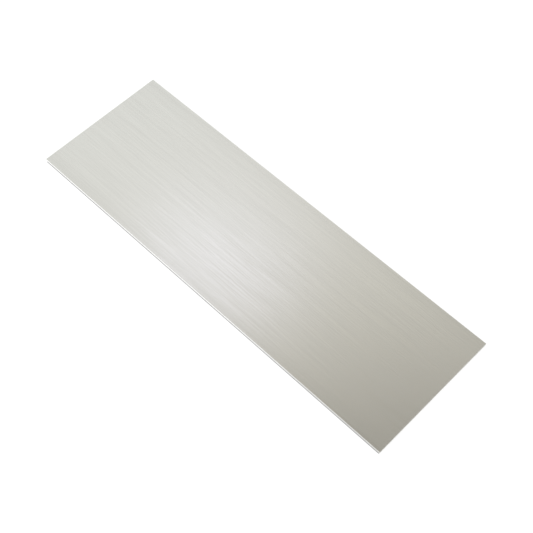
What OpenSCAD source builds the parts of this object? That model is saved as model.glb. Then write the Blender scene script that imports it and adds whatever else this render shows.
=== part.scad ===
// Self-adhesive kick plate: a brushed steel sheet with no screw holes, held to the door by
// five strips of foam tape. Each strip carries a release liner that is pulled off to fit it.
// The plate lies face up on its liners. X runs along its length, Y up the door, Z out of
// the door. The origin is under the middle of the plate, on the liners' underside.

/* [Face plate] */
// Length of the sheet, across the door
plate_l = 460; // [300:5:900]
// Height of the sheet, up the door
plate_w = 150; // [120:5:300]
// Thickness of the sheet
plate_t = 3; // [1.5:0.1:4]
// Radius of the rounded edge around the brushed face
face_round = 0.2; // [0.1:0.1:0.6]
// Width of the broken edge around the back
back_break = 0.2; // [0.1:0.1:0.4]
// Radius of the sheet's four corners
corner_r = 0.5; // [0.2:0.1:3]

/* [Foam tape] */
// Width of a tape strip
tape_w = 19; // [12:1:25]
// Thickness of the tape
tape_t = 1.1; // [0.5:0.1:2]
// Distance from the sheet's edges to the outer strips
tape_inset = 8; // [6:1:15]
// Space between the end of a strip and the strip beside it
tape_gap = 10; // [8:1:15]

/* [Release liners] */
// Thickness of a liner
liner_t = 0.1; // [0.05:0.01:0.2]
// Length of the pull tab at each end of a liner, past its tape
tab_l = 5; // [2:0.5:5]
// Radius of a pull tab's corners
tab_r = 4; // [1:0.5:5]

/* [Hidden] */
$fn = 48;

// Heights of the layers
tape_z = liner_t;
plate_z = liner_t + tape_t;

// What an outer strip and the space beside it take from each side of the sheet
margin = tape_inset + tape_w + tape_gap;

// Lengths of the strips
long_l = plate_l - 2 * tape_inset;
end_l = plate_w - 2 * margin;
middle_l = plate_l - 2 * margin;

// Centre lines of the strips along the long edges and across the ends
edge_y = plate_w / 2 - tape_inset - tape_w / 2;
end_x = plate_l / 2 - tape_inset - tape_w / 2;

// Section of the sheet over a given span: rounded at the face, broken at the back
module sheet_section(span) {
    side = span / 2;
    shoulder = plate_t - face_round;
    polygon([
        [-side, back_break], [-side + back_break, 0],
        [side - back_break, 0], [side, back_break],
        [side, shoulder], [-side, shoulder]
    ]);
    translate([-side + face_round, plate_t / 2])
        square([span - 2 * face_round, plate_t / 2]);
    for (end = [-1, 1])
        translate([end * (side - face_round), shoulder]) circle(face_round);
}

// Rectangle with its middle on the origin and four round corners
module round_rectangle(length, width, radius) {
    square([length - 2 * radius, width], center = true);
    square([length, width - 2 * radius], center = true);
    for (x = [-1, 1], y = [-1, 1])
        translate([x * (length / 2 - radius), y * (width / 2 - radius)]) circle(radius);
}

// One strip of foam tape, turned about Z by an angle
module tape(x, y, length, turn = 0) {
    color("whitesmoke")
        translate([x, y, tape_z]) rotate([0, 0, turn])
            linear_extrude(tape_t) square([length, tape_w], center = true);
}

// The release liner under a strip, longer than its tape by a pull tab at each end
module liner(x, y, length, turn = 0) {
    color("antiquewhite")
        translate([x, y, 0]) rotate([0, 0, turn])
            linear_extrude(liner_t)
                round_rectangle(length + 2 * tab_l, tape_w, min(tab_r, tab_l));
}

module face_plate() {
    color("silver")
        translate([0, 0, plate_z])
            intersection() {
                rotate([90, 0, 90])
                    linear_extrude(plate_l, center = true) sheet_section(plate_w);
                rotate([90, 0, 0])
                    linear_extrude(plate_w, center = true) sheet_section(plate_l);
                linear_extrude(plate_t) round_rectangle(plate_l, plate_w, corner_r);
            }
}

module tape_upper() { tape(0, edge_y, long_l); }
module tape_lower() { tape(0, -edge_y, long_l); }
module tape_left() { tape(-end_x, 0, end_l, 90); }
module tape_right() { tape(end_x, 0, end_l, 90); }
module tape_middle() { tape(0, 0, middle_l); }

module liner_upper() { liner(0, edge_y, long_l); }
module liner_lower() { liner(0, -edge_y, long_l); }
module liner_left() { liner(-end_x, 0, end_l, 90); }
module liner_right() { liner(end_x, 0, end_l, 90); }
module liner_middle() { liner(0, 0, middle_l); }

face_plate();
tape_upper();
tape_lower();
tape_left();
tape_right();
tape_middle();
liner_upper();
liner_lower();
liner_left();
liner_right();
liner_middle();
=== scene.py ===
"""A brushed steel kick plate lying face up on a pale table, with foam tape strips and their
release liners stuck to its back. Everything is in metres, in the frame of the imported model."""

import math

import bpy
from mathutils import Matrix, Vector


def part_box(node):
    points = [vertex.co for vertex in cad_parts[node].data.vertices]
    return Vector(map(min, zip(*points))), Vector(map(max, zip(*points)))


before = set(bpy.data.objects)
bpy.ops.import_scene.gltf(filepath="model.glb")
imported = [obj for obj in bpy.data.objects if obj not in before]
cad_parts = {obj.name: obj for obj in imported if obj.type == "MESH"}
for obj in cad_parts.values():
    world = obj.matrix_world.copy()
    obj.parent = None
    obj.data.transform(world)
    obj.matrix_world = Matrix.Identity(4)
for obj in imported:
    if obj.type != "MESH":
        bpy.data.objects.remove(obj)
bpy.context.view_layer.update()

MM = 0.001
STRIPS = ("upper", "lower", "left", "right", "middle")

sheet_low, sheet_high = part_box("face_plate")
sheet_size = sheet_high - sheet_low
face_middle = Vector((0, 0, sheet_high.z))

# ---------------------------------------------------------------- camera

CAMERA_AZIMUTH = math.radians(44.9)
CAMERA_ELEVATION = math.radians(58.9)
CAMERA_ROLL = math.radians(-0.5)
CAMERA_DISTANCE = 7.0 * sheet_size.y
# Where the optical axis meets the face, from its middle
CAMERA_AIM = Vector((0.0535 * sheet_size.x, -0.055 * sheet_size.y, 0))
SENSOR_MM = 36.0
LENS_MM = 72.9


def make_camera():
    """Puts the camera over the near right corner of the plate, looking down on its face."""
    back = Vector((
        math.sin(CAMERA_AZIMUTH) * math.cos(CAMERA_ELEVATION),
        -math.cos(CAMERA_AZIMUTH) * math.cos(CAMERA_ELEVATION),
        math.sin(CAMERA_ELEVATION),
    ))
    camera = bpy.data.objects.new("camera", bpy.data.cameras.new("camera"))
    bpy.context.scene.collection.objects.link(camera)
    place = Matrix.Translation(face_middle + CAMERA_AIM + back * CAMERA_DISTANCE)
    level = (-back).to_track_quat("-Z", "Y").to_matrix().to_4x4()
    camera.matrix_world = place @ level @ Matrix.Rotation(CAMERA_ROLL, 4, "Z")
    camera.data.sensor_width = SENSOR_MM
    camera.data.lens = LENS_MM
    bpy.context.scene.camera = camera


# ---------------------------------------------------------------- node helpers

# The mix node's sockets, which have the same names for numbers as for colours
MIX_NUMBERS = (2, 3)
MIX_COLOURS = (6, 7)
MIX_COLOUR_OUT = 2


class Surface:
    """A node material, with a short call for each kind of step in it."""

    def __init__(self, name):
        self.material = bpy.data.materials.new(name)
        self.material.use_nodes = True
        self.tree = self.material.node_tree
        self.shader = self.tree.nodes["Principled BSDF"]
        coordinates = self.tree.nodes.new("ShaderNodeTexCoord")
        self.place = coordinates.outputs["Object"]
        self.facing = coordinates.outputs["Normal"]

    def add(self, kind, inputs, output=0, **settings):
        """Adds a node, sets or links its inputs, and returns one of its outputs."""
        node = self.tree.nodes.new(kind)
        for key, value in settings.items():
            setattr(node, key, value)
        for key, value in inputs.items():
            if isinstance(value, bpy.types.NodeSocket):
                self.tree.links.new(value, node.inputs[key])
            else:
                node.inputs[key].default_value = value
        return node.outputs[output]

    def math(self, operation, a, b=0.0, c=0.0):
        """One step of arithmetic on sockets or numbers."""
        return self.add("ShaderNodeMath", {0: a, 1: b, 2: c}, operation=operation)

    def weigh(self, *parts):
        """The sum of (value, weight) pairs."""
        total = 0.0
        for value, weight in parts:
            total = self.math("MULTIPLY_ADD", value, weight, total)
        return total

    def axes(self, vector):
        """The X, Y and Z sockets of a vector."""
        split = self.add("ShaderNodeSeparateXYZ", {0: vector}).node
        return split.outputs[0], split.outputs[1], split.outputs[2]

    def step(self, value, low, high, start=0.0, end=1.0):
        """Goes smoothly from start, where value is low, to end, where it is high."""
        inputs = {"Value": value, "From Min": low, "From Max": high}
        inputs.update({"To Min": start, "To Max": end})
        return self.add("ShaderNodeMapRange", inputs, interpolation_type="SMOOTHSTEP")

    def noise(self, cell, detail=2.0, roughness=0.5, shift=0.0, warp=0.0):
        """Noise from 0 to 1 whose grains are cell = (x, y, z) metres long."""
        scaled = self.add(
            "ShaderNodeVectorMath",
            {0: self.place, 1: [1 / c for c in cell], 2: (shift, shift, shift)},
            operation="MULTIPLY_ADD",
        )
        inputs = {"Vector": scaled, "Scale": 1.0, "Detail": detail}
        inputs.update({"Roughness": roughness, "Distortion": warp})
        return self.add("ShaderNodeTexNoise", inputs)

    def blend(self, share, a, b):
        """A colour from a, where share is 0, to b, where it is 1."""
        inputs = {"Factor": share, MIX_COLOURS[0]: a, MIX_COLOURS[1]: b}
        return self.add("ShaderNodeMix", inputs, output=MIX_COLOUR_OUT, data_type="RGBA")

    def lerp(self, share, a, b):
        """A number from a, where share is 0, to b, where it is 1."""
        inputs = {"Factor": share, MIX_NUMBERS[0]: a, MIX_NUMBERS[1]: b}
        return self.add("ShaderNodeMix", inputs, data_type="FLOAT")

    def bump(self, height, depth):
        """Surface normals of a relief that is height times depth, in metres."""
        return self.add("ShaderNodeBump", {"Height": height, "Distance": depth})

    def finish(self, **sockets):
        """Links or sets the shader's own sockets, named with _ for a space."""
        for key, value in sockets.items():
            socket = self.shader.inputs[key.replace("_", " ")]
            if isinstance(value, bpy.types.NodeSocket):
                self.tree.links.new(value, socket)
            else:
                socket.default_value = value
        return self.material


# ---------------------------------------------------------------- materials

FACE_LIGHT = (0.669, 0.664, 0.642, 1)
FACE_DARK = (0.652, 0.647, 0.625, 1)
FACE_SIDE_SHADE = (0.62, 0.615, 0.594, 1)
FACE_WORN = (0.71, 0.705, 0.685, 1)
REFLECTION_SHEARED = (0.96, 0.955, 0.945, 1)
REFLECTION_TORN = (0.90, 0.895, 0.885, 1)
GREY_SHEARED = (0.68, 0.67, 0.65, 1)
GREY_TORN = (0.52, 0.51, 0.49, 1)
GREY_PATCH = (0.60, 0.59, 0.565, 1)
BACK_DARK = (0.57, 0.565, 0.555, 1)
BACK_LIGHT = (0.66, 0.655, 0.645, 1)
FOAM_DARK = (0.83, 0.83, 0.81, 1)
FOAM_LIGHT = (0.89, 0.89, 0.87, 1)
FOAM_CELL = (0.70, 0.70, 0.68, 1)
LINER_DARK = (0.80, 0.72, 0.55, 1)
LINER_LIGHT = (0.86, 0.79, 0.63, 1)
LINER_FIBRE = (0.74, 0.65, 0.48, 1)
TABLE = (0.15, 0.15, 0.15, 1)
WHITE = (1, 1, 1, 1)


def brushed_steel():
    """Brushed along X on the face, sheared at the sides, as rolled on the back."""
    s = Surface("brushed_steel")
    x, y, z = s.axes(s.place)
    _, ny, nz = s.axes(s.facing)
    on_face = s.step(nz, 0.2, 0.5)
    on_back = s.step(nz, -0.55, -0.9)

    # Face: wide bands, lines in three sizes, a few deeper strokes, painted shade towards both
    # long sides, and a worn rim
    bands = s.noise((220 * MM, 4.5 * MM, 4.5 * MM), detail=2.0, shift=30.5)
    broad = s.noise((45 * MM, 0.65 * MM, 0.65 * MM))
    fine = s.noise((18 * MM, 0.32 * MM, 0.32 * MM), detail=3.0, shift=3.7)
    hair = s.noise((7 * MM, 0.09 * MM, 0.09 * MM), detail=1.0, shift=8.1)
    strokes = s.noise((55 * MM, 0.5 * MM, 0.5 * MM), detail=0.0, shift=13.3)
    strokes = s.step(strokes, 0.74, 0.82)
    lines = s.step(s.weigh((broad, 0.75), (bands, 0.25)), 0.34, 0.66)
    rubs = s.noise((3 * MM, 1.2 * MM, 1.2 * MM), detail=3.0, shift=9.4)
    from_end = s.math("SUBTRACT", sheet_size.x / 2, s.math("ABSOLUTE", x))
    from_side = s.math("SUBTRACT", sheet_size.y / 2, s.math("ABSOLUTE", y))
    border = s.math("MINIMUM", from_end, from_side)
    # Painted shade: the face darkens towards both long sides
    faint = s.step(from_side, 18 * MM, 3 * MM, 0.0, 0.45)
    worn = s.step(s.math("MULTIPLY_ADD", rubs, 1.2 * MM, border), 1.1 * MM, 0.5 * MM)
    face_colour = s.blend(lines, FACE_LIGHT, FACE_DARK)
    face_colour = s.blend(faint, face_colour, FACE_SIDE_SHADE)
    face_colour = s.blend(worn, face_colour, FACE_WORN)
    face_rough = s.lerp(worn, s.lerp(lines, 0.21, 0.27), 0.20)
    face_height = s.weigh((broad, 0.03), (fine, 0.008), (hair, 0.002), (strokes, 0.004))

    # Sides: a burnished band under the face, then a rougher torn one. The near long side has a
    # painted bright reflection that fades towards the right, and the other three are grey
    shear = s.noise((0.35 * MM, 0.35 * MM, 9 * MM), detail=3.0, shift=2.2)
    patches = s.noise((9 * MM, 9 * MM, 2 * MM), detail=3.0, shift=11.0)
    depth = s.math("SUBTRACT", sheet_high.z, z)
    depth = s.math("MULTIPLY_ADD", shear, 0.5 * MM, depth)
    torn = s.step(depth, 1.8 * MM, 2.4 * MM)
    # Painted reflection: the near long side is lightened, fading out over the right half
    painted_reflection = s.step(x, 0.5 * sheet_size.x, 0.0)
    painted_reflection = s.math("MULTIPLY", painted_reflection, s.step(ny, -0.6, -0.9))
    painted_reflection_colour = s.blend(torn, REFLECTION_SHEARED, REFLECTION_TORN)
    grey_colour = s.blend(torn, GREY_SHEARED, GREY_TORN)
    grey_colour = s.blend(s.step(patches, 0.4, 0.7), grey_colour, GREY_PATCH)
    side_colour = s.blend(painted_reflection, grey_colour, painted_reflection_colour)
    side_rough = s.lerp(torn, 0.26, 0.40)
    side_height = s.weigh((shear, 0.006), (torn, -0.02))

    # Back: cloudy, with wide faint streaks left by the rolls
    streaks = s.noise((150 * MM, 3 * MM, 3 * MM), detail=4.0, shift=17.0)
    cloud = s.noise((70 * MM, 50 * MM, 50 * MM), detail=3.0, shift=5.0)
    mill = s.noise((0.5 * MM, 0.4 * MM, 0.4 * MM), detail=3.0, shift=21.0)
    back_tone = s.step(s.weigh((streaks, 0.5), (cloud, 0.5)), 0.35, 0.65)
    back_colour = s.blend(back_tone, BACK_DARK, BACK_LIGHT)
    back_rough = s.lerp(cloud, 0.46, 0.36)
    back_height = s.weigh((streaks, 0.01), (mill, 0.003))

    colour = s.blend(on_back, s.blend(on_face, side_colour, face_colour), back_colour)
    rough = s.lerp(on_back, s.lerp(on_face, side_rough, face_rough), back_rough)
    height = s.lerp(on_back, s.lerp(on_face, side_height, face_height), back_height)

    # The lines spread light across them, so the wide side of the gloss lies along Y
    # on the face and along each edge on the sides
    along_edge = s.add(
        "ShaderNodeVectorMath", {0: (0, 0, 1), 1: s.facing}, operation="CROSS_PRODUCT"
    )
    over_face = s.add("ShaderNodeCombineXYZ", {"Y": s.math("ABSOLUTE", nz)})
    tangent = s.add("ShaderNodeVectorMath", {0: along_edge, 1: over_face}, operation="ADD")
    return s.finish(
        Base_Color=colour, Roughness=rough, Normal=s.bump(height, MM), Tangent=tangent,
        Metallic=1.0, Anisotropic=0.26,
    )


def foam():
    """White closed-cell foam, matt, with its cut cells showing at the sides."""
    s = Surface("foam_tape")
    cells = s.noise((0.25 * MM, 0.25 * MM, 0.25 * MM), detail=3.0, roughness=0.65)
    tone = s.noise((30 * MM, 12 * MM, 12 * MM), detail=2.0, shift=4.0)
    colour = s.blend(tone, FOAM_DARK, FOAM_LIGHT)
    colour = s.blend(s.step(cells, 0.55, 0.75), colour, FOAM_CELL)
    return s.finish(
        Base_Color=colour, Roughness=s.lerp(cells, 0.75, 0.95),
        Normal=s.bump(cells, 0.08 * MM),
    )


def liner():
    """Siliconised paper: warm, faintly fibrous, with a low gloss."""
    s = Surface("release_liner")
    fibres = s.noise((1.6 * MM, 0.25 * MM, 0.25 * MM), detail=4.0, warp=1.5)
    tone = s.noise((25 * MM, 18 * MM, 18 * MM), detail=3.0, shift=6.0)
    colour = s.blend(tone, LINER_DARK, LINER_LIGHT)
    colour = s.blend(s.step(fibres, 0.5, 0.8), colour, LINER_FIBRE)
    return s.finish(
        Base_Color=colour, Roughness=s.lerp(fibres, 0.38, 0.5),
        Normal=s.bump(fibres, 0.01 * MM),
    )


# How much the table glows under the plate, as painted shadow, and round it on its near side and
# behind
PAINTED_SHADOW_GLOW = 0.35
GLOW_NEAR_PAINTED_LIGHT = 1.06
GLOW_FAR = 0.92
# The painted shadow stops short of the plate's ends and goes a little past its long sides
PAINTED_SHADOW_SHORT_OF_END = 0.6 * MM
PAINTED_SHADOW_PAST_SIDE = 0.4 * MM
PAINTED_SHADOW_BLUR = 0.1 * MM
# Half the width over which the brighter near glow, which is painted light, changes to the far
# one
GLOW_BLUR = 4 * MM


def table_top():
    """Glowing white table, with a painted shadow under the plate and painted light along its
    near side.
    """
    s = Surface("table_top")
    x, y, _ = s.axes(s.place)
    past_end = s.math("SUBTRACT", s.math("ABSOLUTE", x), sheet_size.x / 2 - PAINTED_SHADOW_SHORT_OF_END)
    past_side = s.math("SUBTRACT", s.math("ABSOLUTE", y), sheet_size.y / 2 + PAINTED_SHADOW_PAST_SIDE)
    # Painted shadow: the glow drops under the plate and just past its long sides
    outside_painted_shadow = s.step(s.math("MAXIMUM", past_end, past_side), -PAINTED_SHADOW_BLUR, PAINTED_SHADOW_BLUR)
    near_side = -sheet_size.y / 2
    # Painted light: the table glows brighter along the plate's near side
    glow = s.step(y, near_side - GLOW_BLUR, near_side + GLOW_BLUR, GLOW_NEAR_PAINTED_LIGHT, GLOW_FAR)
    return s.finish(
        Base_Color=TABLE, Roughness=0.8, Emission_Color=WHITE,
        Emission_Strength=s.lerp(outside_painted_shadow, PAINTED_SHADOW_GLOW, glow),
    )


def dress(obj, surface):
    """Gives every material slot of an object one material."""
    obj.data.materials.clear()
    obj.data.materials.append(surface)


# ---------------------------------------------------------------- floor and light

FLOOR_SIDE = 12.0
# The room is pale at the floor and high up, with a dimmer band low on its walls, and dimmest
# overhead, about ROOM_PATCH. Each stop is the cosine of the angle from that direction, then
# the room's brightness and tint there
ROOM_PATCH = Vector((0.2, 0.07, 1.0)).normalized()
COOL = (0.98, 1.0, 0.985)
WARM = (1.0, 0.96, 0.85)
ROOM_STOPS = (
    (0.30, 1.1, COOL),
    (0.38, 0.6, COOL),
    (0.46, 0.65, COOL),
    (0.65, 1.18, COOL),
    (0.85, 0.84, WARM),
    (0.87, 0.39, WARM),
)
SOFTBOX_PLACE = Vector((-0.76, 0.57, 1.6))
SOFTBOX_SIZE = (0.08, 0.4)
# Heading of its long side, from X
SOFTBOX_HEADING = math.radians(21)
SOFTBOX_RADIANCE = 2.2
SOFTBOX_COLOUR = (0.75, 0.76, 1.0)


def make_floor():
    """The table top, staged so that it is no part of the object."""
    half = FLOOR_SIDE / 2
    mesh = bpy.data.meshes.new("floor")
    corners = ((-half, -half, 0), (half, -half, 0), (half, half, 0), (-half, half, 0))
    mesh.from_pydata(corners, [], [(0, 1, 2, 3)])
    floor = bpy.data.objects.new("floor", mesh)
    bpy.context.scene.collection.objects.link(floor)
    dress(floor, table_top())


def make_room():
    """A soft world with a dimmer band low on its walls, and a dim patch overhead."""
    world = bpy.data.worlds.new("room")
    bpy.context.scene.world = world
    world.use_nodes = True
    tree = world.node_tree
    direction = tree.nodes.new("ShaderNodeTexCoord").outputs["Generated"]
    towards = tree.nodes.new("ShaderNodeVectorMath")
    towards.operation = "DOT_PRODUCT"
    towards.inputs[1].default_value = ROOM_PATCH
    tree.links.new(direction, towards.inputs[0])
    ramp = tree.nodes.new("ShaderNodeValToRGB")
    stops = ramp.color_ramp.elements
    stops.remove(stops[1])
    for index, (position, brightness, tint) in enumerate(ROOM_STOPS):
        stop = stops[0] if index == 0 else stops.new(position)
        stop.position = position
        stop.color = [brightness * channel for channel in tint] + [1]
    tree.links.new(towards.outputs["Value"], ramp.inputs[0])
    tree.links.new(ramp.outputs[0], tree.nodes["Background"].inputs["Color"])


def make_softbox():
    """A narrow softbox high up past the plate's far left corner, facing the plate."""
    data = bpy.data.lights.new("softbox", "AREA")
    data.shape = "RECTANGLE"
    data.size, data.size_y = SOFTBOX_SIZE
    data.color = SOFTBOX_COLOUR
    data.energy = SOFTBOX_RADIANCE * math.pi * SOFTBOX_SIZE[0] * SOFTBOX_SIZE[1]
    softbox = bpy.data.objects.new("softbox", data)
    bpy.context.scene.collection.objects.link(softbox)
    back = (SOFTBOX_PLACE - face_middle).normalized()
    length = Vector((math.cos(SOFTBOX_HEADING), math.sin(SOFTBOX_HEADING), 0))
    side = length.cross(back).normalized()
    turn = Matrix((side, back.cross(side), back)).transposed().to_4x4()
    softbox.matrix_world = Matrix.Translation(SOFTBOX_PLACE) @ turn


make_camera()
make_floor()
make_room()
make_softbox()

dress(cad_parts["face_plate"], brushed_steel())
tape_material = foam()
liner_material = liner()
for strip in STRIPS:
    dress(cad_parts["tape_" + strip], tape_material)
    dress(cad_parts["liner_" + strip], liner_material)

bpy.context.scene.view_settings.view_transform = "Standard"
